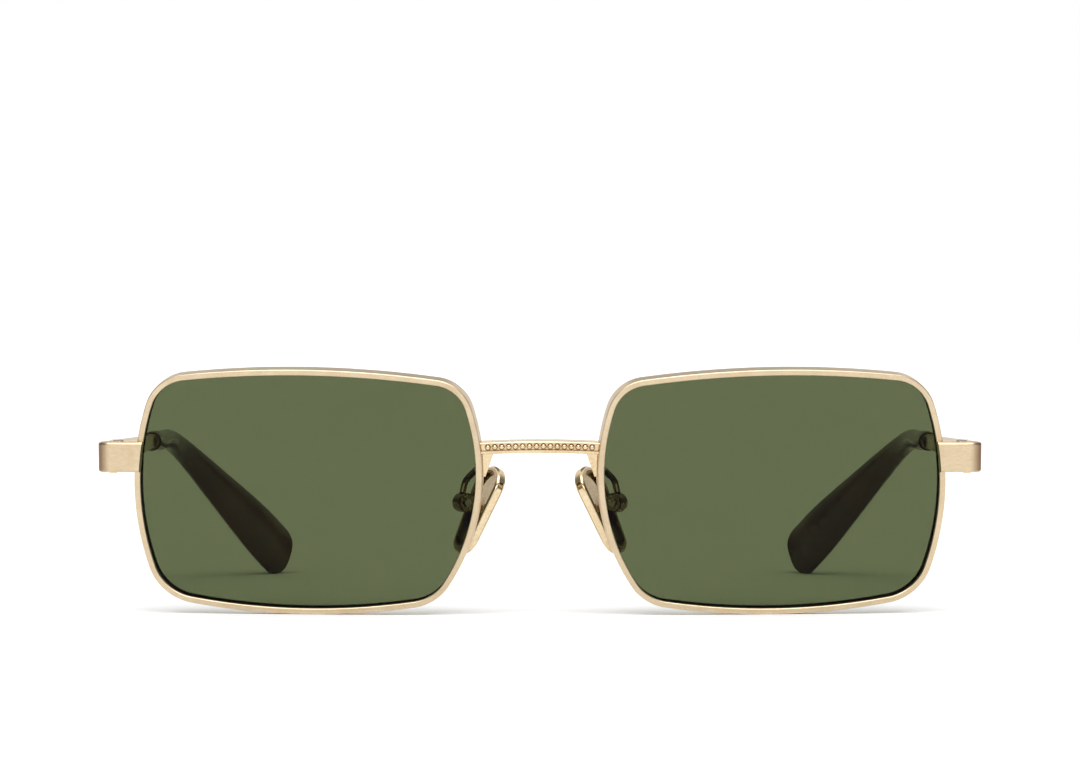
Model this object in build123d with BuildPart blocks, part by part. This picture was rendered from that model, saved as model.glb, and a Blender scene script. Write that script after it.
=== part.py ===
from build123d import *
from math import cos, radians, sin, tan
import os

# Sunglasses with a rectangular metal front, standing on the table with both temples open.
# +X is the wearer's left, -Y is ahead of the wearer, +Z is up and z = 0 is the table.
# The left half is drawn; each of its pieces is mirrored to the right. Sizes are in mm and degrees.

# Stance of the front
LEAN = 11.0  # the front's top stands ahead of its foot
WRAP = 7.0  # each lens turns back towards its temple
BASE_RADIUS = 530.0  # nearly flat lens, base one
EYE_X = 35.7  # lens centre from the middle
EYE_Z = 18.76  # lens centre above the table
FRONT_Y = -63.6  # lens centre ahead of the origin

# Lens opening from its centre, +u to the temple and +v up, clockwise from the top nose corner
OPENING_CORNERS = ((-23.5, 16.25), (22.6, 17.15), (23.0, -15.8), (-18.7, -16.7))
CORNER_RADII = (5.4, 6.1, 7.1, 6.9)
SIDE_BOWS = (1.7, 3.5, 2.0, 4.65)  # top, temple side, foot, nose side

# Eyewire and lens
RIM_WIDTH = 0.95
RIM_DEPTH = 2.6
RIM_ROUND = 0.2
GROOVE_DEPTH = 0.5
LENS_RECESS = 0.5
LENS_THICKNESS = 1.8
BEVEL_STEP = 0.3  # the lens edge is thinner than the lens by this much each side
LENS_GAP = 0.04

# Bridge
BRIDGE_HEIGHT = 1.85
BRIDGE_DEPTH = 1.9
BRIDGE_Y = -4.6  # front of the bridge, ahead of the lens centre
BRIDGE_Z = 26.0
BRIDGE_ARCH_RADIUS = 98.0
BRIDGE_BOW_RADIUS = 48.0
BRIDGE_ROUND = 0.2
BRIDGE_REACH = 12.0  # half the length of the bar before the eyewires cut it
BEAD_COUNT = 16
BEAD_PITCH = 1.063
BEAD_RADIUS = 0.46
CHANNEL_HEIGHT = 1.1
CHANNEL_DEPTH = 0.4
CHANNEL_RISE = 0.1  # the lower rail is the wider one
GUSSET_WIDTH = 2.0
GUSSET_FOOT_WIDTH = 0.45
GUSSET_HEIGHT = 3.7
GUSSET_THICKNESS = 1.1

# End piece, hinge and closing blocks
OUTER_X = 68.2  # outer face of the end piece and of the temple
END_Z = 24.35
END_HEIGHT = 4.7
END_PROUD = 0.56  # front face ahead of the lens centre
END_PLATE = 1.26
END_ROUND = 2.0  # outer corner seen from above
END_EDGE_ROUND = 0.45
LEG_THICKNESS = 1.45
LEG_BLOCK = 2.4  # depth of the corner between plate and leg
LEG_BLOCK_SLOPE = 0.3
BLOCK_GAP = 0.2  # between the closing blocks and that corner
HINGE_Y = 8.5  # hinge axis behind the lens centre
KNUCKLE_RADIUS = 1.1
LEAF_THICKNESS = 1.1
LEAF_SOLDER = 0.1  # between each leaf and what carries it
LEAF_LENGTH = 3.0
KNUCKLE_STACK = 4.2
MIDDLE_KNUCKLE = 1.6
LEAF_STEP = 0.4  # the rear leaf is lower than the knuckles by this much each side
KNUCKLE_GAP = 0.06
SCREW_RADIUS = 0.5
SCREW_CLEARANCE = 0.03
HEAD_RADIUS = 0.85
HEAD_HEIGHT = 0.4
SLOT_WIDTH = 0.25
LOCK_V = 5.6  # split of the eyewire above the lens centre
LOCK_SPLIT = 0.1
LOCK_HEIGHT = 1.6
LOCK_WIDTH = 2.6
LOCK_DEPTH = 2.1
LOCK_GAP = 0.03  # behind the end piece's plate

# Temple
TEMPLE_GAP = 0.06  # between the end piece and the open temple
TOE_IN = 1.83
ARM_THICKNESS = 1.35
ARM_LENGTH = 59.5  # from the hinge to the collar
ARM_END_HEIGHT = 2.1
ARM_ROUND = 0.375
WIRE_RADIUS = 0.65
WIRE_DROP = 1.4  # middle of the wire below the top of the arm
WIRE_OVERLAP = 1.0
COLLAR_RADIUS = 1.35
COLLAR_ROUND = 0.25
COLLAR_LENGTH = 2.4
EAR_BEND = 91.5  # from the hinge to the corner of the ear bend
EAR_RADIUS = 26.0
TIP_LENGTH = 42.6  # from the corner of the ear bend to the end of the tip
TIP_DROP = 31.56  # slope of the tip below level
TIP_INWARD = 29.0  # turn of the tip towards the head
TIP_START = 3.2
TIP_WIDTH = 9.7
TIP_END_WIDTH = 9.5
TIP_THICKNESS = 3.4
TIP_END_ROUND = 3.0

# Nose pad and its arm
PAD_CENTRE = (9.5, 5.95, 16.05)  # from the middle, behind the lens centre, above the table
PAD_SPLAY = 30.0
PAD_TILT = 26.0
PAD_LENGTH = 14.6
PAD_WIDTH = 7.4
PAD_FOOT_WIDTH = 5.4
PAD_THICKNESS = 1.7
PAD_RIM = 0.85
PAD_RECESS = 0.7
PAD_ROUND = 0.5
BOX_STANDOFF = 2.9  # screw axis from the middle of the pad
BOX_RADIUS = 1.5
BOX_CHEEK = 0.6
BOX_ROUND = 0.25
POST_THICKNESS = 1.0
POST_RADIUS = 0.85
POST_SIDE_GAP = 0.06
PAD_SCREW_RADIUS = 0.35
PAD_ARM_RADIUS = 0.5
PAD_ARM_ROOT_V = 3.0
PAD_ARM_SINK = 0.15  # the root goes this far into the eyewire before it is cut flush
PAD_ARM_OUT = (0.3, 4.4, 0.3)  # first run, back from the eyewire
PAD_ARM_IN = (-0.4, 1.4, 2.0)  # start of the last run, from where it meets the box
PAD_ARM_SEAT = (0.825, 1.125)  # from the middle of the box, outwards and up
PAD_ARM_BEND = 1.1

PATCH_ANGLE = 3.6  # half the sweep of the curved surfaces, seen from the middle of their ball
CUT = 12.0  # more than any local thickness, for cutting tools

os.makedirs("parts", exist_ok=True)

# Directions shared by the pieces
lean = radians(LEAN)
up_front = Vector(0, -sin(lean), cos(lean))  # upwards along the leaning front
back_front = Vector(0, cos(lean), sin(lean))  # backwards, square to the leaning front
eye_normal = (-back_front).rotate(Axis.Z, WRAP)
eye_across = Vector(1, 0, 0).rotate(Axis.Z, WRAP)
eye = Plane(origin=(EYE_X, FRONT_Y, EYE_Z), x_dir=eye_across, z_dir=eye_normal)
ball_centre = eye.origin - eye_normal * BASE_RADIUS


def export_pair(name, piece):
    """Write the left piece and its mirror image."""
    for side, part in (("left", piece), ("right", mirror(piece, about=Plane.YZ))):
        part.label = f"{side}_{name}"
        export_step(part, f"parts/{part.label}.step")


def eye_profile(grow):
    """The lens opening on the eye plane, grown outwards by an even width."""
    with BuildSketch(eye, mode=Mode.PRIVATE) as profile:
        with BuildLine():
            for k, bow in enumerate(SIDE_BOWS):
                start = Vector(*OPENING_CORNERS[k])
                end = Vector(*OPENING_CORNERS[(k + 1) % 4])
                outward = (end - start).normalized().rotate(Axis.Z, 90)
                ThreePointArc(start, (start + end) / 2 + outward * bow, end)
        make_face()
        for corner, radius in zip(OPENING_CORNERS, CORNER_RADII):
            nearest = profile.vertices().sort_by_distance(Vector(*corner))[0]
            fillet(nearest, radius)
        if grow:
            offset(amount=grow)
    return profile.sketch


def eye_prism(grow):
    """The opening's outline carried through the front."""
    return extrude(eye_profile(grow), amount=CUT, both=True, mode=Mode.PRIVATE)


def shell(front, back):
    """The curved space between two depths behind the front of the lens side, wide enough for the eye."""
    first = eye_normal.rotate(Axis((0, 0, 0), eye.y_dir), -PATCH_ANGLE)
    start = Plane(origin=ball_centre, x_dir=first, z_dir=first.cross(eye.y_dir))
    with BuildSketch(start) as section:
        with BuildLine():
            outer = CenterArc((0, 0), BASE_RADIUS - front, -PATCH_ANGLE, 2 * PATCH_ANGLE)
            inner = CenterArc((0, 0), BASE_RADIUS - back, -PATCH_ANGLE, 2 * PATCH_ANGLE)
            Line(outer @ 0, inner @ 0)
            Line(outer @ 1, inner @ 1)
        make_face()
    return revolve(section.sketch, axis=Axis(ball_centre, eye.y_dir), revolution_arc=2 * PATCH_ANGLE)


eye_block = eye_prism(RIM_WIDTH)
opening = eye_prism(0)
rim_shell = shell(0, RIM_DEPTH)
rim_block = eye_block & shell(0, CUT)
rim_solid = eye_block & rim_shell

# Eyewire: a channel round the lens, split behind the end piece
edge_front = LENS_RECESS + BEVEL_STEP
edge_back = LENS_RECESS + LENS_THICKNESS - BEVEL_STEP
groove = eye_prism(GROOVE_DEPTH) & shell(edge_front - LENS_GAP, edge_back + LENS_GAP)
with BuildPart() as eyewire:
    add(rim_solid - opening)
    fillet(eyewire.edges().filter_by(GeomType.LINE, reverse=True), RIM_ROUND)
    add(groove, mode=Mode.SUBTRACT)
    with Locations(eye * Pos(OPENING_CORNERS[1][0] + SIDE_BOWS[1], LOCK_V, 0)):
        Box(4 * RIM_WIDTH, LOCK_SPLIT, CUT, mode=Mode.SUBTRACT)
export_pair("eyewire", eyewire.part)

# Lens, with a thinner edge that sits in the channel
lens_body = eye_prism(-LENS_GAP) & shell(LENS_RECESS, LENS_RECESS + LENS_THICKNESS)
lens_edge = eye_prism(GROOVE_DEPTH - LENS_GAP) & shell(edge_front, edge_back)
with BuildPart() as lens:
    add(lens_body)
    add(lens_edge)
export_pair("lens", lens.part)

# Bridge: an arched and bowed bar with a beaded channel along its front
bridge_face = Plane(origin=(0, FRONT_Y + BRIDGE_Y, BRIDGE_Z), x_dir=(1, 0, 0), z_dir=-back_front)
both_eyes = eye_block + mirror(eye_block, about=Plane.YZ)


def arched_band(height, rise):
    """A band across the bridge that follows its arch, seen from the front."""
    reach = BRIDGE_REACH
    drop = reach**2 / (2 * BRIDGE_ARCH_RADIUS)
    top = rise + height / 2
    foot = rise - height / 2
    with BuildSketch(bridge_face) as band:
        with BuildLine():
            upper = ThreePointArc((-reach, top - drop), (0, top), (reach, top - drop))
            lower = ThreePointArc((-reach, foot - drop), (0, foot), (reach, foot - drop))
            Line(upper @ 0, lower @ 0)
            Line(upper @ 1, lower @ 1)
        make_face()
    return extrude(band.sketch, amount=CUT, both=True)


def bow_cylinder(depth):
    """The bridge's bowed front surface, taken back by a depth."""
    plane = Plane(origin=bridge_face.origin, x_dir=(1, 0, 0), z_dir=up_front)
    return plane * Pos(0, BRIDGE_BOW_RADIUS, 0) * Cylinder(BRIDGE_BOW_RADIUS - depth, 2 * CUT)


bridge_bar = arched_band(BRIDGE_HEIGHT, 0) & (bow_cylinder(0) - bow_cylinder(BRIDGE_DEPTH))
bridge_channel = arched_band(CHANNEL_HEIGHT, CHANNEL_RISE) - bow_cylinder(CHANNEL_DEPTH)
with BuildPart() as bridge:
    add(bridge_bar)
    long_edges = bridge.edges().filter_by(lambda edge: edge.length > BRIDGE_REACH)
    fillet(long_edges, BRIDGE_ROUND)
    add(bridge_channel, mode=Mode.SUBTRACT)
    for k in range(BEAD_COUNT):
        across = (k - (BEAD_COUNT - 1) / 2) * BEAD_PITCH
        height = CHANNEL_RISE - across**2 / (2 * BRIDGE_ARCH_RADIUS)
        depth = CHANNEL_DEPTH + across**2 / (2 * BRIDGE_BOW_RADIUS)
        with Locations(bridge_face * Pos(across, height, -depth)):
            Sphere(BEAD_RADIUS)
    add(both_eyes, mode=Mode.SUBTRACT)
bridge.part.label = "bridge"
export_step(bridge.part, "parts/bridge.step")

# Gusset plate between the bridge and the eyewire
rim_side = (bridge_bar & eye_block).bounding_box().min.X
bridge_foot = -BRIDGE_HEIGHT / 2 - rim_side**2 / (2 * BRIDGE_ARCH_RADIUS)
with BuildPart() as bridge_gusset:
    with BuildSketch(bridge_face.offset(-BRIDGE_DEPTH)) as web:
        with BuildLine():
            Polyline(
                (rim_side - GUSSET_WIDTH, bridge_foot + BRIDGE_HEIGHT / 2),
                (rim_side + GUSSET_WIDTH, bridge_foot + BRIDGE_HEIGHT / 2),
                (rim_side + GUSSET_WIDTH, bridge_foot - GUSSET_HEIGHT),
                (rim_side - GUSSET_FOOT_WIDTH, bridge_foot - GUSSET_HEIGHT),
                close=True,
            )
        make_face()
    extrude(amount=-GUSSET_THICKNESS)
    add(eye_block, mode=Mode.SUBTRACT)
    add(bridge.part, mode=Mode.SUBTRACT)
export_pair("bridge_gusset", bridge_gusset.part)

# End piece: a plate over the eyewire and a leg that turns back to the hinge
end_bottom = END_Z - END_HEIGHT / 2
leg_inner_x = OUTER_X - LEG_THICKNESS
leaf_side = LEAF_THICKNESS + LEAF_SOLDER
hinge_x = OUTER_X - max(LEG_THICKNESS, ARM_THICKNESS) - leaf_side
hinge = Plane(origin=(hinge_x, FRONT_Y + HINGE_Y, END_Z), x_dir=(1, 0, 0), z_dir=up_front)
foot = eye.origin + eye.y_dir * ((end_bottom - EYE_Z) / cos(lean))
back_level = Vector(0, 1, 0).rotate(Axis.Z, WRAP)
mitre_y = hinge.origin.Y + END_HEIGHT / 2 * tan(lean)


def end_point(across, back):
    """A point of the end piece's plan, from the lens centre line."""
    return foot + eye_across * across + back_level * back


corner_across = (OUTER_X - foot.X - END_PROUD * sin(radians(WRAP))) / cos(radians(WRAP))
lock_side = OPENING_CORNERS[1][0] + SIDE_BOWS[1] + RIM_WIDTH + LOCK_WIDTH
plate_back = END_PLATE - END_PROUD
with BuildPart() as end_piece:
    with BuildSketch(Plane.XY.offset(end_bottom)) as plan:
        inner_front = end_point(OPENING_CORNERS[1][0], -END_PROUD)
        outer_front = end_point(corner_across, -END_PROUD)
        inner_back = end_point(OPENING_CORNERS[1][0], plate_back)
        block_front = end_point(lock_side + BLOCK_GAP, plate_back)
        block_back = end_point(lock_side + BLOCK_GAP, LEG_BLOCK)
        with BuildLine():
            Polyline(
                (inner_front.X, inner_front.Y),
                (outer_front.X, outer_front.Y),
                (OUTER_X, mitre_y),
                (leg_inner_x, mitre_y),
                (leg_inner_x, block_back.Y + LEG_BLOCK_SLOPE),
                (block_back.X, block_back.Y),
                (block_front.X, block_front.Y),
                (inner_back.X, inner_back.Y),
                close=True,
            )
        make_face()
        fillet(plan.vertices().sort_by_distance((outer_front.X, outer_front.Y))[0], END_ROUND)
    extrude(amount=END_HEIGHT / cos(lean), dir=up_front)
    outer_edges = []
    for level in (end_bottom, end_bottom + END_HEIGHT):
        corner = (outer_front.X, outer_front.Y - (level - end_bottom) * tan(lean), level)
        level_edges = end_piece.edges().filter_by_position(Axis.Z, level, level)
        outer_edges += level_edges.sort_by_distance(corner)[:3]
    fillet(outer_edges, END_EDGE_ROUND)
    add(opening, mode=Mode.SUBTRACT)
    add(rim_block, mode=Mode.SUBTRACT)
export_pair("end_piece", end_piece.part)

# Closing blocks on the two ends of the eyewire, drawn together by a screw
lock_inner = lock_side - LOCK_WIDTH - RIM_WIDTH
lock_front = -plate_back * cos(lean) - LOCK_GAP
screw_u = lock_side - LOCK_WIDTH / 2
screw_n = lock_front - LOCK_DEPTH / 2
bore_centre = eye.from_local_coords((screw_u, LOCK_V, screw_n))
lock_screw_bore = Plane(origin=bore_centre, x_dir=eye_across, z_dir=eye.y_dir)


def lock_block(low, high):
    """One closing block between two heights beside the eyewire."""
    block = Pos((lock_inner + lock_side) / 2, (low + high) / 2, lock_front - LOCK_DEPTH / 2) * Box(
        lock_side - lock_inner, high - low, LOCK_DEPTH
    )
    return eye * block - rim_block


upper_block = lock_block(LOCK_V + LOCK_SPLIT / 2, LOCK_V + LOCK_HEIGHT)
lower_block = lock_block(LOCK_V - LOCK_HEIGHT, LOCK_V - LOCK_SPLIT / 2)
with BuildPart() as rim_lock_upper:
    add(upper_block)
    with Locations(lock_screw_bore.location):
        Cylinder(SCREW_RADIUS + SCREW_CLEARANCE, CUT, mode=Mode.SUBTRACT)
export_pair("rim_lock_upper", rim_lock_upper.part)

with BuildPart() as rim_lock_lower:
    add(lower_block)
    with Locations(lock_screw_bore.location):
        Cylinder(SCREW_RADIUS + SCREW_CLEARANCE, CUT, mode=Mode.SUBTRACT)
export_pair("rim_lock_lower", rim_lock_lower.part)


def slotted_screw(plane, shank, radius, head_radius, head_height):
    """A screw whose head stands on the plane's underside and whose shank runs up along its normal."""
    with BuildPart() as screw:
        with BuildSketch(plane):
            Circle(radius)
        extrude(amount=shank)
        with BuildSketch(plane):
            Circle(head_radius)
        extrude(amount=-head_height)
        fillet(screw.faces().sort_by(Axis(plane.origin, plane.z_dir))[0].edges(), head_height / 3)
        with BuildSketch(plane.offset(-head_height)):
            Rectangle(3 * head_radius, SLOT_WIDTH)
        extrude(amount=head_height / 2, mode=Mode.SUBTRACT)
    return screw.part


lock_screw = slotted_screw(
    lock_screw_bore.offset(-LOCK_HEIGHT), 2 * LOCK_HEIGHT, SCREW_RADIUS, HEAD_RADIUS, HEAD_HEIGHT
)
export_pair("rim_lock_screw", lock_screw)

# Three-knuckle hinge between the leg and the temple
middle_space = MIDDLE_KNUCKLE / 2 + KNUCKLE_GAP
with BuildPart() as front_hinge:
    with BuildSketch(hinge.offset(-KNUCKLE_STACK / 2)):
        Circle(KNUCKLE_RADIUS)
        with Locations(((leg_inner_x - hinge_x) / 2, -LEAF_LENGTH / 2)):
            Rectangle(leg_inner_x - hinge_x, LEAF_LENGTH)
    extrude(amount=KNUCKLE_STACK)
    with BuildSketch(hinge):
        Circle(KNUCKLE_RADIUS + 2 * KNUCKLE_GAP)
        with Locations((0, KNUCKLE_RADIUS)):
            Rectangle(4 * KNUCKLE_RADIUS, 2 * KNUCKLE_RADIUS)
    extrude(amount=middle_space, both=True, mode=Mode.SUBTRACT)
    with Locations(hinge.location):
        Cylinder(SCREW_RADIUS + SCREW_CLEARANCE, CUT, mode=Mode.SUBTRACT)
export_pair("front_hinge", front_hinge.part)

hinge_screw = slotted_screw(
    Plane(origin=hinge.offset(KNUCKLE_STACK / 2).origin, x_dir=(1, 0, 0), z_dir=-up_front),
    KNUCKLE_STACK, SCREW_RADIUS, HEAD_RADIUS, HEAD_HEIGHT,
)
export_pair("hinge_screw", hinge_screw)

# Temple: a tapered bar that carries on as a wire through the collar into the tip
arm_along = Vector(0, 1, 0).rotate(Axis.Z, TOE_IN)
arm_foot = Vector(OUTER_X - ARM_THICKNESS / 2, hinge.origin.Y, 0)
arm = Plane(origin=arm_foot, x_dir=arm_along, z_dir=arm_along.cross(Vector(0, 0, 1)))
arm_top = END_Z + END_HEIGHT / 2
wire_z = arm_top - WIRE_DROP


def arm_point(along, height):
    """A point on the middle plane of the arm."""
    return arm.from_local_coords((along, height, 0))


def across_arm(along, height):
    """A plane across the arm, its own x axis upwards."""
    return Plane(origin=arm_point(along, height), x_dir=(0, 0, 1), z_dir=arm_along)


tip_level = arm_along.rotate(Axis.Z, TIP_INWARD - TOE_IN)
tip_along = tip_level * cos(radians(TIP_DROP)) - Vector(0, 0, sin(radians(TIP_DROP)))
ear_corner = arm_point(EAR_BEND, wire_z)


def ear_path(start, length):
    """The line of the temple from a place on the arm round the ear bend."""
    end = ear_corner + tip_along * length
    return FilletPolyline(arm_point(start, wire_z), ear_corner, end, radius=EAR_RADIUS)


wire_line = ear_path(ARM_LENGTH - WIRE_OVERLAP, TIP_LENGTH - 2 * TIP_END_ROUND)
with BuildPart() as temple_arm:
    with BuildSketch(across_arm(-END_HEIGHT / 2, END_Z)):
        RectangleRounded(END_HEIGHT, ARM_THICKNESS, ARM_ROUND)
    with BuildSketch(across_arm(ARM_LENGTH, wire_z)):
        RectangleRounded(ARM_END_HEIGHT, ARM_THICKNESS, ARM_ROUND)
    loft()
    split(bisect_by=Plane(origin=hinge.origin + back_front * TEMPLE_GAP, z_dir=back_front), keep=Keep.TOP)
    with BuildSketch(across_arm(ARM_LENGTH - WIRE_OVERLAP, wire_z)):
        Circle(WIRE_RADIUS)
    sweep(path=wire_line)
export_pair("temple_arm", temple_arm.part)

with BuildPart() as temple_hinge:
    with BuildSketch(hinge):
        Circle(KNUCKLE_RADIUS)
        with Locations((LEAF_THICKNESS / 2, LEAF_LENGTH / 2)):
            Rectangle(2 * leaf_side - LEAF_THICKNESS, LEAF_LENGTH)
    extrude(amount=MIDDLE_KNUCKLE / 2, both=True)
    with BuildSketch(hinge):
        with Locations((leaf_side - LEAF_THICKNESS / 4, LEAF_LENGTH)):
            Rectangle(LEAF_THICKNESS, LEAF_LENGTH)
    extrude(amount=KNUCKLE_STACK / 2 - LEAF_STEP, both=True)
    add(temple_arm.part, mode=Mode.SUBTRACT)
    with Locations(hinge.location):
        Cylinder(SCREW_RADIUS + SCREW_CLEARANCE, CUT, mode=Mode.SUBTRACT)
export_pair("temple_hinge", temple_hinge.part)

with BuildPart() as collar:
    with BuildSketch(across_arm(ARM_LENGTH, wire_z)):
        Circle(COLLAR_RADIUS)
    extrude(amount=COLLAR_LENGTH)
    fillet(collar.edges().filter_by(GeomType.CIRCLE), COLLAR_ROUND)
    add(temple_arm.part, mode=Mode.SUBTRACT)
export_pair("collar", collar.part)

# Tip: stations along the ear path, each with its place, width and thickness
tip_path = ear_path(ARM_LENGTH + COLLAR_LENGTH, TIP_LENGTH)
stations = (
    (0, TIP_START, TIP_START),
    (0.12, TIP_START, TIP_START),
    (0.24, TIP_START + 0.1, TIP_START),
    (0.34, TIP_START + 0.4, TIP_START),
    (0.44, TIP_START + 1.0, TIP_START),
    (0.54, TIP_START + 2.0, TIP_THICKNESS),
    (0.66, TIP_START + 3.7, TIP_THICKNESS),
    (0.78, TIP_START + 5.3, TIP_THICKNESS),
    (0.89, TIP_WIDTH - 0.2, TIP_THICKNESS),
    (1, TIP_END_WIDTH, TIP_THICKNESS),
)
tip_upwards = Vector(0, 0, 1) - tip_along * tip_along.Z
paddle = Plane(origin=tip_path @ 1, x_dir=tip_upwards, z_dir=Vector(0, 0, 1).cross(tip_along))
with BuildPart() as temple_tip:
    for place, width, thickness in stations:
        along = tip_path % place
        upwards = Vector(0, 0, 1) - along * along.Z
        with BuildSketch(Plane(origin=tip_path @ place, x_dir=upwards, z_dir=along)):
            Ellipse(width / 2, thickness / 2)
    loft()
    with BuildSketch(paddle) as end_waste:
        Rectangle(2 * TIP_WIDTH, 2 * TIP_END_ROUND)
        with Locations((0, -TIP_WIDTH / 2)):
            RectangleRounded(TIP_WIDTH, TIP_WIDTH, TIP_END_ROUND, mode=Mode.SUBTRACT)
    extrude(amount=TIP_THICKNESS, both=True, mode=Mode.SUBTRACT)
    add(temple_arm.part, mode=Mode.SUBTRACT)
export_pair("temple_tip", temple_tip.part)

# Nose pad: a shallow metal dish with a post at its back, held in a slotted box by a screw
pad_width_dir = Vector(0, 1, 0).rotate(Axis.Z, -PAD_SPLAY)
pad_level = Vector(1, 0, 0).rotate(Axis.Z, -PAD_SPLAY)
pad_normal = pad_level * cos(radians(PAD_TILT)) + Vector(0, 0, sin(radians(PAD_TILT)))
pad_origin = Vector(PAD_CENTRE[0], FRONT_Y + PAD_CENTRE[1], PAD_CENTRE[2])
pad = Plane(origin=pad_origin, x_dir=pad_width_dir, z_dir=pad_normal)
box_centre = pad_origin + pad_normal * BOX_STANDOFF
box_side = Plane(origin=box_centre, x_dir=pad_normal, z_dir=pad_width_dir)
box_half = POST_THICKNESS / 2 + POST_SIDE_GAP + BOX_CHEEK



def pad_outline(inset, depth):
    """The pad's drop outline, wider at its top, at a depth below the pad's plane."""
    with BuildSketch(pad.offset(-depth), mode=Mode.PRIVATE) as outline:
        with Locations((0, (PAD_LENGTH - PAD_WIDTH) / 2)):
            Circle(PAD_WIDTH / 2 - inset)
        with Locations((0, (PAD_FOOT_WIDTH - PAD_LENGTH) / 2)):
            Circle(PAD_FOOT_WIDTH / 2 - inset)
        make_hull()
    return outline.sketch


pad_plate = extrude(pad_outline(0, 0), amount=PAD_THICKNESS / 2, both=True)
pad_dish = extrude(pad_outline(PAD_RIM, -PAD_THICKNESS / 2), amount=-PAD_RECESS)
with BuildPart() as nose_pad:
    add(pad_plate)
    fillet(nose_pad.edges().group_by(SortBy.LENGTH)[-1], PAD_ROUND)
    add(pad_dish, mode=Mode.SUBTRACT)
    with BuildSketch(box_side):
        Circle(POST_RADIUS)
        with Locations((-BOX_STANDOFF / 2, 0)):
            Rectangle(BOX_STANDOFF, 2 * POST_RADIUS)
    extrude(amount=POST_THICKNESS / 2, both=True)
    with Locations(box_side.location):
        Cylinder(PAD_SCREW_RADIUS + SCREW_CLEARANCE, CUT, mode=Mode.SUBTRACT)
export_pair("nose_pad", nose_pad.part)

with BuildPart() as pad_box:
    with BuildSketch(box_side):
        Circle(BOX_RADIUS)
    extrude(amount=box_half, both=True)
    fillet(pad_box.edges().filter_by(GeomType.CIRCLE), BOX_ROUND)
    with BuildSketch(box_side):
        Circle(POST_RADIUS + 2 * POST_SIDE_GAP)
        with Locations((-BOX_RADIUS, 0)):
            Rectangle(2 * BOX_RADIUS, 4 * BOX_RADIUS)
    extrude(amount=POST_THICKNESS / 2 + POST_SIDE_GAP, both=True, mode=Mode.SUBTRACT)
    with Locations(box_side.location):
        Cylinder(PAD_SCREW_RADIUS + SCREW_CLEARANCE, CUT, mode=Mode.SUBTRACT)
export_pair("pad_box", pad_box.part)

pad_screw = slotted_screw(
    box_side.offset(-box_half), 2 * box_half, PAD_SCREW_RADIUS, 2 * PAD_SCREW_RADIUS, HEAD_HEIGHT
)
export_pair("pad_screw", pad_screw)

# Pad arm: a wire from the back of the eyewire round to the outer side of the box
nose_side = (OPENING_CORNERS[0][0] + OPENING_CORNERS[3][0]) / 2 - SIDE_BOWS[3]
curve_back = (nose_side**2 + PAD_ARM_ROOT_V**2) / (2 * BASE_RADIUS)
root_depth = curve_back + RIM_DEPTH - PAD_ARM_SINK
arm_root = eye.from_local_coords((nose_side - RIM_WIDTH / 2, PAD_ARM_ROOT_V, -root_depth))
arm_seat = box_centre + pad_normal * PAD_ARM_SEAT[0] + pad.y_dir * PAD_ARM_SEAT[1]
with BuildPart() as pad_arm:
    with BuildLine() as pad_wire:
        FilletPolyline(
            arm_root,
            arm_root + Vector(*PAD_ARM_OUT),
            arm_seat + Vector(*PAD_ARM_IN),
            arm_seat,
            radius=PAD_ARM_BEND,
        )
    with BuildSketch(Plane(origin=pad_wire.line @ 0, z_dir=pad_wire.line % 0)):
        Circle(PAD_ARM_RADIUS)
    sweep()
    add(rim_solid, mode=Mode.SUBTRACT)
    add(pad_box.part, mode=Mode.SUBTRACT)
export_pair("pad_arm", pad_arm.part)
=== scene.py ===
import math

import bpy
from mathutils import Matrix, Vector


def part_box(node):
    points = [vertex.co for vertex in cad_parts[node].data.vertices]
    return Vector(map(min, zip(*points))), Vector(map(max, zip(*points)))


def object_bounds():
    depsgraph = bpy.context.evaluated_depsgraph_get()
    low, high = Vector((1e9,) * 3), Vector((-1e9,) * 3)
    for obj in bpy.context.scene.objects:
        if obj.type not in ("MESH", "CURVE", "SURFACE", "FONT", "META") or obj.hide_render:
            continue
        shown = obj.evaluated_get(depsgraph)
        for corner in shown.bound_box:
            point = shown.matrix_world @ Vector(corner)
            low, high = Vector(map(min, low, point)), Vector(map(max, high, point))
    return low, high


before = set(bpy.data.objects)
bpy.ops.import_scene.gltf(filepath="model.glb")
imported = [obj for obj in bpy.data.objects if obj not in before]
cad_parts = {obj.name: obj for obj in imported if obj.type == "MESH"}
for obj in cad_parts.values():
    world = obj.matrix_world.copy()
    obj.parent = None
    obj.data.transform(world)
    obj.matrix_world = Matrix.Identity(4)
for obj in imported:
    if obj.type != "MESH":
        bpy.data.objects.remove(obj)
cad_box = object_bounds()

# Lengths are in metres, angles in degrees and colours in linear red, green and blue
MILLIMETRE = 0.001

# Camera: just above the height of the front and far enough for a long lens
CAMERA_PLACE = Vector((0.0, -0.7636, 0.0422))
CAMERA_PITCH = -0.55
CAMERA_FOCAL = 151.9
CAMERA_SENSOR = 36.0
CAMERA_NEAR = 0.01

# Light: a white sky and a wide soft light from above and in front
SKY_COLOUR = (1.0, 1.0, 1.0)
SKY_LEVEL = 1.0
# Darker parts of the sky: direction, cosines where the darkening starts and is full, and the level there
SKY_FLAGS = (
    ((1.0, -0.1, 0.0), 0.45, 0.85, 0.22),
    ((-1.0, -0.1, 0.0), 0.45, 0.85, 0.22),
    ((0.0, 1.0, 1.2), 0.88, 0.97, 0.2),
)
SOFTBOX_LEVEL = 2.3
SOFTBOX_SPREAD = 60.0
SOFTBOX_TILT = 35.0

# Floor
FLOOR_REACH = 60.0
FLOOR_DROP = 0.01 * MILLIMETRE  # below the lowest point of the object
FLOOR_COLOUR = (0.96, 0.96, 0.96)
FLOOR_SPECK_SHADE = 0.985
FLOOR_SPECK_SIZE = 0.6 * MILLIMETRE
FLOOR_ROUGHNESS = 0.9

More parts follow.
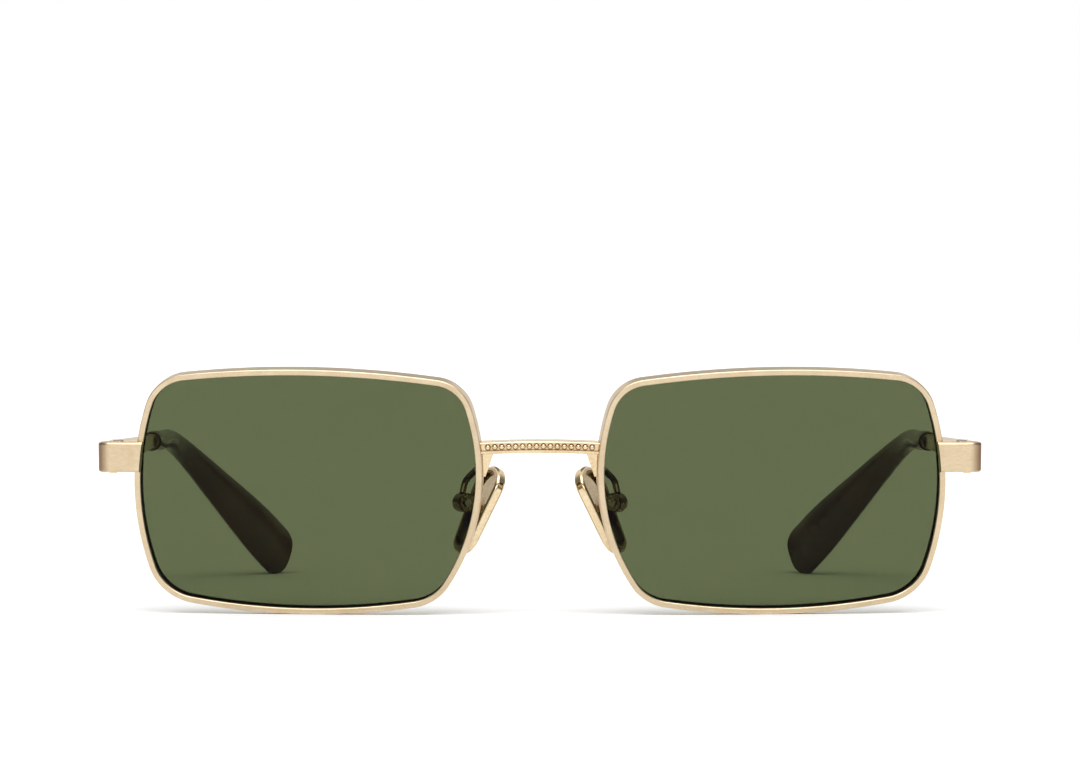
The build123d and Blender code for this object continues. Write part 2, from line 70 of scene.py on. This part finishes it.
# Gold plate
CREAM = (0.72, 0.60, 0.42)
TAN = (0.56, 0.42, 0.26)
BRIGHT = (0.84, 0.72, 0.50)
HONEY = (0.62, 0.42, 0.21)
# Painted shade: a darker copy of the polished gold for the pad arms, pad boxes and collars, standing in for
# the shade they sit in
SHADED_GOLD = (0.34, 0.24, 0.13)
SHADED_GOLD_DARK = (0.16, 0.10, 0.05)
SCREW_LIGHT = (0.72, 0.62, 0.46)
SCREW_DARK = (0.42, 0.33, 0.22)
# Painted shade: the brown mixed into crevices, bead gaps, pad hollows and the rounded side corners of the end
# pieces
PAINTED_SHADE_BROWN = (0.15, 0.065, 0.022)
CLOUD_SIZE = 4.0 * MILLIMETRE
GRAIN_SHARE = 0.55  # of the darker colour where the grain is highest
CLOUD_SHARE = 0.35
GLOSS_SPREAD = (0.8, 1.25)  # roughness where the grain is lowest and highest, as shares of the finish's own
WORN_EDGE = 0.18 * MILLIMETRE
WORN_TURN = (0.995, 0.85)  # cosines of the edge's turn where the wear starts and is full
BEAD_SHADE = 0.3 * MILLIMETRE  # how near a surface has to be for painted shade on the metal between the beads
RECESS_SHADE = 2.5 * MILLIMETRE  # and for painted shade in the hollow of a nose pad
CREVICE_OPENING = (0.85, 0.45)  # shares of open surroundings where the painted shade starts and is full
# How far sideways the surface faces where the painted shade on a rounded corner starts, is darkest and ends
# again
CORNER_START = (0.12, 0.92)
CORNER_END = (0.995, 0.95)

# Lens
LENS_TINT = (0.0955, 0.1150, 0.0545)
LENS_SMEARED = (0.0980, 0.1175, 0.0565)
LENS_EDGE = (0.010, 0.012, 0.006)
LENS_EDGE_ROUGHNESS = 0.55
# How far the surface faces front or back where the ground edge ends and where the polished face starts
LENS_FACING = (0.5, 0.7)
LENS_INDEX = 1.15  # low, because a coat takes most of the reflection away
SMEAR_SIZE = 14.0 * MILLIMETRE
SMEAR_STRETCH = (1.0, 1.0, 2.5)

# Temple tip
TIP_DARK = (0.060, 0.026, 0.014)
TIP_BROWN = (0.120, 0.046, 0.022)
TIP_PLAIN = (0.085, 0.036, 0.018)
PLAIN_END = 4.0 * MILLIMETRE  # the tip is of one colour up to here and fully cloudy from CLOUDS_FULL on
CLOUDS_FULL = 22.0 * MILLIMETRE
TIP_CLOUD_SIZE = 9.0 * MILLIMETRE
TIP_CLOUD_STRETCH = (1.0, 0.45, 1.0)
TIP_CLOUD_RANGE = (0.40, 0.66)
TIP_FINE_SIZE = 0.5 * MILLIMETRE
TIP_FINE_DEPTH = 0.002 * MILLIMETRE
TIP_ROUGHNESS = (0.07, 0.12)
TIP_CLARITY = 0.15
TIP_INDEX = 1.4

# Values of a noise between which its effect runs from nothing to full
NOISE_RANGE = (0.3, 0.7)
CLOUD_RANGE = (0.35, 0.65)
GLOSS_RANGE = (0.25, 0.75)

# How far the edges of the plainly cut pieces are broken
BROKEN_EDGES = {
    "end_piece": 0.1 * MILLIMETRE,
    "temple_arm": 0.2 * MILLIMETRE,
    "bridge_gusset": 0.12 * MILLIMETRE,
    "rim_lock_upper": 0.1 * MILLIMETRE,
    "rim_lock_lower": 0.1 * MILLIMETRE,
    "front_hinge": 0.08 * MILLIMETRE,
    "temple_hinge": 0.08 * MILLIMETRE,
}
SHARP_EDGE = 35.0  # edges that turn by more than this are broken
WELD_REACH = 0.001 * MILLIMETRE


class Nodes:
    """A node tree and the short ways to add to it."""

    # A colour mix has several sockets of each name, so its sockets go by number
    MIX_SHARE, MIX_FIRST, MIX_SECOND = 0, 6, 7
    MIX_RESULT = 2

    def __init__(self, tree):
        self.tree = tree

    def set(self, socket, value):
        if isinstance(value, bpy.types.NodeSocket):
            self.tree.links.new(value, socket)
        elif isinstance(value, tuple) and len(value) == 3 and socket.type == "RGBA":
            socket.default_value = (*value, 1.0)
        else:
            socket.default_value = value

    def add(self, kind, inputs=None, **settings):
        made = self.tree.nodes.new(kind)
        for key, value in settings.items():
            setattr(made, key, value)
        for key, value in (inputs or {}).items():
            self.set(made.inputs[key], value)
        return made

    def spread(self, value, low, high, to_low=0.0, to_high=1.0, **settings):
        """Turns the range from low to high into the range from to_low to to_high."""
        inputs = {"Value": value, "From Min": low, "From Max": high, "To Min": to_low, "To Max": to_high}
        return self.add("ShaderNodeMapRange", inputs, **settings).outputs["Result"]

    def mix(self, share, first, second):
        inputs = {self.MIX_SHARE: share, self.MIX_FIRST: first, self.MIX_SECOND: second}
        return self.add("ShaderNodeMix", inputs, data_type="RGBA").outputs[self.MIX_RESULT]

    def math(self, operation, first, second=0.0):
        return self.add("ShaderNodeMath", {0: first, 1: second}, operation=operation).outputs[0]

    def dot(self, first, second):
        made = self.add("ShaderNodeVectorMath", {0: first, 1: second}, operation="DOT_PRODUCT")
        return made.outputs["Value"]


class Finish(Nodes):
    """A material that is put together from nodes."""

    def __init__(self, name):
        self.material = bpy.data.materials.new(name)
        self.material.use_nodes = True
        super().__init__(self.material.node_tree)
        self.shader = self.tree.nodes["Principled BSDF"]

    def look(self, values):
        for key, value in values.items():
            self.set(self.shader.inputs[key], value)

    def place(self, stretch=(1.0, 1.0, 1.0)):
        """Points of the piece in the shared frame, times a stretch."""
        source = self.add("ShaderNodeTexCoord").outputs["Object"]
        return self.add("ShaderNodeMapping", {"Vector": source, "Scale": stretch}).outputs["Vector"]

    def noise(self, vector, size, detail=3.0, roughness=0.6):
        """Cloudy noise whose features are about this large."""
        inputs = {"Vector": vector, "Scale": 1.0 / size, "Detail": detail, "Roughness": roughness}
        return self.add("ShaderNodeTexNoise", inputs).outputs["Fac"]

    def bump(self, height, depth):
        inputs = {"Height": height, "Distance": depth, "Strength": 1.0}
        return self.add("ShaderNodeBump", inputs).outputs["Normal"]

    def facing(self, axis):
        """How far the surface faces along an axis of the frame, either way."""
        normal = self.add("ShaderNodeTexCoord").outputs["Normal"]
        part = self.add("ShaderNodeSeparateXYZ", {"Vector": normal}).outputs[axis]
        return self.math("ABSOLUTE", part)

    def edges(self):
        """One along the piece's edges and zero on its faces."""
        rounded = self.add("ShaderNodeBevel", {"Radius": WORN_EDGE}, samples=6).outputs["Normal"]
        plain = self.add("ShaderNodeNewGeometry").outputs["Normal"]
        return self.spread(self.dot(rounded, plain), *WORN_TURN)

    def crevices(self, reach, depth):
        """The given depth of painted shade where other surfaces are near, and zero where there are none."""
        opening = self.add("ShaderNodeAmbientOcclusion", {"Distance": reach}, samples=8).outputs["AO"]
        return self.spread(opening, *CREVICE_OPENING, 0.0, depth)

    def corners(self):
        """One on the round corners between the front and the two sides, where a darker reflection is painted
        in as shade.
        """
        sideways = self.facing("X")
        return self.math("MULTIPLY", self.spread(sideways, *CORNER_START), self.spread(sideways, *CORNER_END))


def gold(name, light, dark, roughness, grain_size, grain_depth, wear, stretch=(1.0, 1.0, 1.0),
         crevice=0.0, reach=0.0, browned=False):
    """Plated metal with a fine grain, cloudy colour, slightly worn edges, painted shade in crevices and, if
    asked for, painted shade on the rounded side corners.
    """
    finish = Finish(name)
    grain = finish.noise(finish.place(stretch), grain_size, detail=2.0)
    cloud = finish.noise(finish.place(), CLOUD_SIZE)
    grain_shade = finish.spread(grain, *NOISE_RANGE, 0.0, GRAIN_SHARE)
    cloud_shade = finish.spread(cloud, *CLOUD_RANGE, 0.0, CLOUD_SHARE)
    colour = finish.mix(finish.math("ADD", grain_shade, cloud_shade), light, dark)
    colour = finish.mix(finish.math("MULTIPLY", finish.edges(), wear), colour, dark)
    # painted shade: darker colour where other surfaces are near, in crevices, between beads and in the pad
    # hollows
    if crevice:
        colour = finish.mix(finish.crevices(reach, crevice), colour, PAINTED_SHADE_BROWN)
    # painted shade: a darker reflection painted on the rounded corners between the front and the sides
    if browned:
        colour = finish.mix(finish.corners(), colour, PAINTED_SHADE_BROWN)
    smoothest, roughest = (share * roughness for share in GLOSS_SPREAD)
    finish.look({
        "Base Color": colour,
        "Metallic": 1.0,
        "Roughness": finish.spread(grain, *GLOSS_RANGE, smoothest, roughest),
        "Normal": finish.bump(grain, grain_depth),
    })
    return finish


def brushed_gold(name, **options):
    return gold(name, CREAM, TAN, roughness=0.34, grain_depth=0.006 * MILLIMETRE, **options)


def polished_gold(name, light, dark, **options):
    return gold(
        name, light, dark, grain_size=0.3 * MILLIMETRE, grain_depth=0.001 * MILLIMETRE, wear=0.25, **options
    )


def lens_glass():
    """Green sun lens with an anti-reflection coat, faint marks of handling and a ground edge."""
    finish = Finish("sun_lens")
    smear = finish.noise(finish.place(SMEAR_STRETCH), SMEAR_SIZE, detail=4.0)
    tint = finish.mix(finish.spread(smear, *NOISE_RANGE), LENS_TINT, LENS_SMEARED)
    face = finish.spread(finish.facing("Y"), *LENS_FACING)
    finish.look({
        "Base Color": finish.mix(face, LENS_EDGE, tint),
        "Roughness": finish.spread(face, 0.0, 1.0, LENS_EDGE_ROUGHNESS, 0.0),
        "Transmission Weight": face,
        "IOR": LENS_INDEX,
    })
    return finish


def tip_acetate():
    """Dark brown acetate, cloudy in the paddle and of one colour near the collar."""
    finish = Finish("dark_acetate")
    place = finish.place()
    cloud = finish.noise(finish.place(TIP_CLOUD_STRETCH), TIP_CLOUD_SIZE, detail=4.0, roughness=0.65)
    fine = finish.noise(place, TIP_FINE_SIZE, detail=2.0)
    along = finish.add("ShaderNodeSeparateXYZ", {"Vector": place}).outputs["Y"]
    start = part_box("left_temple_tip")[0].y
    plain = finish.spread(along, start + CLOUDS_FULL, start + PLAIN_END)
    cloudy = finish.mix(finish.spread(cloud, *TIP_CLOUD_RANGE), TIP_DARK, TIP_BROWN)
    finish.look({
        "Base Color": finish.mix(plain, cloudy, TIP_PLAIN),
        "Roughness": finish.spread(fine, *NOISE_RANGE, *TIP_ROUGHNESS),
        "Normal": finish.bump(fine, TIP_FINE_DEPTH),
        "Transmission Weight": TIP_CLARITY,
        "IOR": TIP_INDEX,
    })
    return finish


def floor_paint():
    """Plain white with the faintest speckle and no gloss."""
    finish = Finish("pale_floor")
    speck = finish.noise(finish.place(), FLOOR_SPECK_SIZE)
    shaded = tuple(FLOOR_SPECK_SHADE * part for part in FLOOR_COLOUR)
    finish.look({
        "Base Color": finish.mix(speck, FLOOR_COLOUR, shaded),
        "Roughness": FLOOR_ROUGHNESS,
        "Specular IOR Level": 0.0,
    })
    return finish


def make_finishes():
    """Each kind of piece with its finish."""
    rim = brushed_gold("brushed_gold", grain_size=0.16 * MILLIMETRE, wear=0.6)
    # the end pieces get painted shade on their rounded side corners
    end = brushed_gold(
        "brushed_gold_across", grain_size=0.12 * MILLIMETRE, wear=0.8, stretch=(0.07, 1.0, 1.0), browned=True
    )
    # the crevice shade here is painted shade between the beads and in the hollow of each nose pad
    polished = polished_gold("polished_gold", BRIGHT, HONEY, roughness=0.09, crevice=0.6, reach=BEAD_SHADE)
    pad = polished_gold("pad_gold", BRIGHT, HONEY, roughness=0.09, crevice=0.8, reach=RECESS_SHADE)
    # painted shade: pad arms, pad boxes and collars get a darker copy of the polished gold
    gold_in_shade = polished_gold("painted_shade_gold", SHADED_GOLD, SHADED_GOLD_DARK, roughness=0.12)
    screw = gold(
        "screw_gold", SCREW_LIGHT, SCREW_DARK, roughness=0.22, grain_size=0.1 * MILLIMETRE,
        grain_depth=0.002 * MILLIMETRE, wear=0.5,
    )
    kinds = {
        rim: ("eyewire", "temple_arm"),
        end: ("end_piece",),
        polished: (
            "bridge", "bridge_gusset", "rim_lock_upper", "rim_lock_lower", "front_hinge", "temple_hinge",
        ),
        pad: ("nose_pad",),
        gold_in_shade: ("pad_arm", "pad_box", "collar"),
        screw: ("rim_lock_screw", "hinge_screw", "pad_screw"),
        lens_glass(): ("lens",),
        tip_acetate(): ("temple_tip",),
    }
    return {kind: finish for finish, named in kinds.items() for kind in named}


def break_edges(piece, width):
    """Round the piece's sharp edges without moving its faces."""
    weld = piece.modifiers.new("weld", "WELD")
    weld.merge_threshold = WELD_REACH
    bevel = piece.modifiers.new("broken_edges", "BEVEL")
    bevel.width = width
    bevel.segments = 3
    bevel.limit_method = "ANGLE"
    bevel.angle_limit = math.radians(SHARP_EDGE)
    bevel.use_clamp_overlap = True
    bevel.harden_normals = False
    normals = piece.modifiers.new("face_normals", "WEIGHTED_NORMAL")
    normals.keep_sharp = True


def dress(name, piece, finishes):
    """Give a CAD piece its finish and, if it was plainly cut, its broken edges."""
    kind = name.removeprefix("left_").removeprefix("right_")
    piece.data.materials.clear()
    piece.data.materials.append(finishes[kind].material)
    if kind in BROKEN_EDGES:
        break_edges(piece, BROKEN_EDGES[kind])


def place_in_scene(name, data):
    made = bpy.data.objects.new(name, data)
    bpy.context.scene.collection.objects.link(made)
    return made


def make_floor():
    reach = FLOOR_REACH
    mesh = bpy.data.meshes.new("floor")
    corners = [(-reach, -reach, 0), (reach, -reach, 0), (reach, reach, 0), (-reach, reach, 0)]
    mesh.from_pydata(corners, [], [(0, 1, 2, 3)])
    floor = place_in_scene("floor", mesh)
    floor.location.z = min(0.0, cad_box[0].z) - FLOOR_DROP
    mesh.materials.append(floor_paint().material)


def make_sky():
    """White light all round that is weaker from the two sides and from high up behind."""
    world = bpy.data.worlds.new("studio")
    bpy.context.scene.world = world
    world.use_nodes = True
    sky = Nodes(world.node_tree)
    towards = sky.add("ShaderNodeTexCoord").outputs["Generated"]
    level = SKY_LEVEL
    for direction, start, end, dimmest in SKY_FLAGS:
        turned = sky.dot(towards, Vector(direction).normalized())
        flag = sky.spread(turned, start, end, 1.0, dimmest, interpolation_type="SMOOTHSTEP")
        level = sky.math("MULTIPLY", level, flag)
    background = world.node_tree.nodes["Background"]
    sky.set(background.inputs["Color"], SKY_COLOUR)
    sky.set(background.inputs["Strength"], level)


def make_softbox():
    lamp = bpy.data.lights.new("softbox", "SUN")
    lamp.energy = SOFTBOX_LEVEL
    lamp.angle = math.radians(SOFTBOX_SPREAD)
    place_in_scene("softbox", lamp).rotation_euler = (math.radians(SOFTBOX_TILT), 0, 0)


def make_camera():
    data = bpy.data.cameras.new("camera")
    data.lens = CAMERA_FOCAL
    data.sensor_width = CAMERA_SENSOR
    data.clip_start = CAMERA_NEAR
    data.clip_end = 3 * FLOOR_REACH
    camera = place_in_scene("camera", data)
    camera.location = CAMERA_PLACE
    camera.rotation_euler = (math.radians(90 + CAMERA_PITCH), 0, 0)
    bpy.context.scene.camera = camera


finishes = make_finishes()
for name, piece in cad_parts.items():
    dress(name, piece, finishes)
make_floor()
make_sky()
make_softbox()
make_camera()
bpy.context.scene.view_settings.view_transform = "Standard"
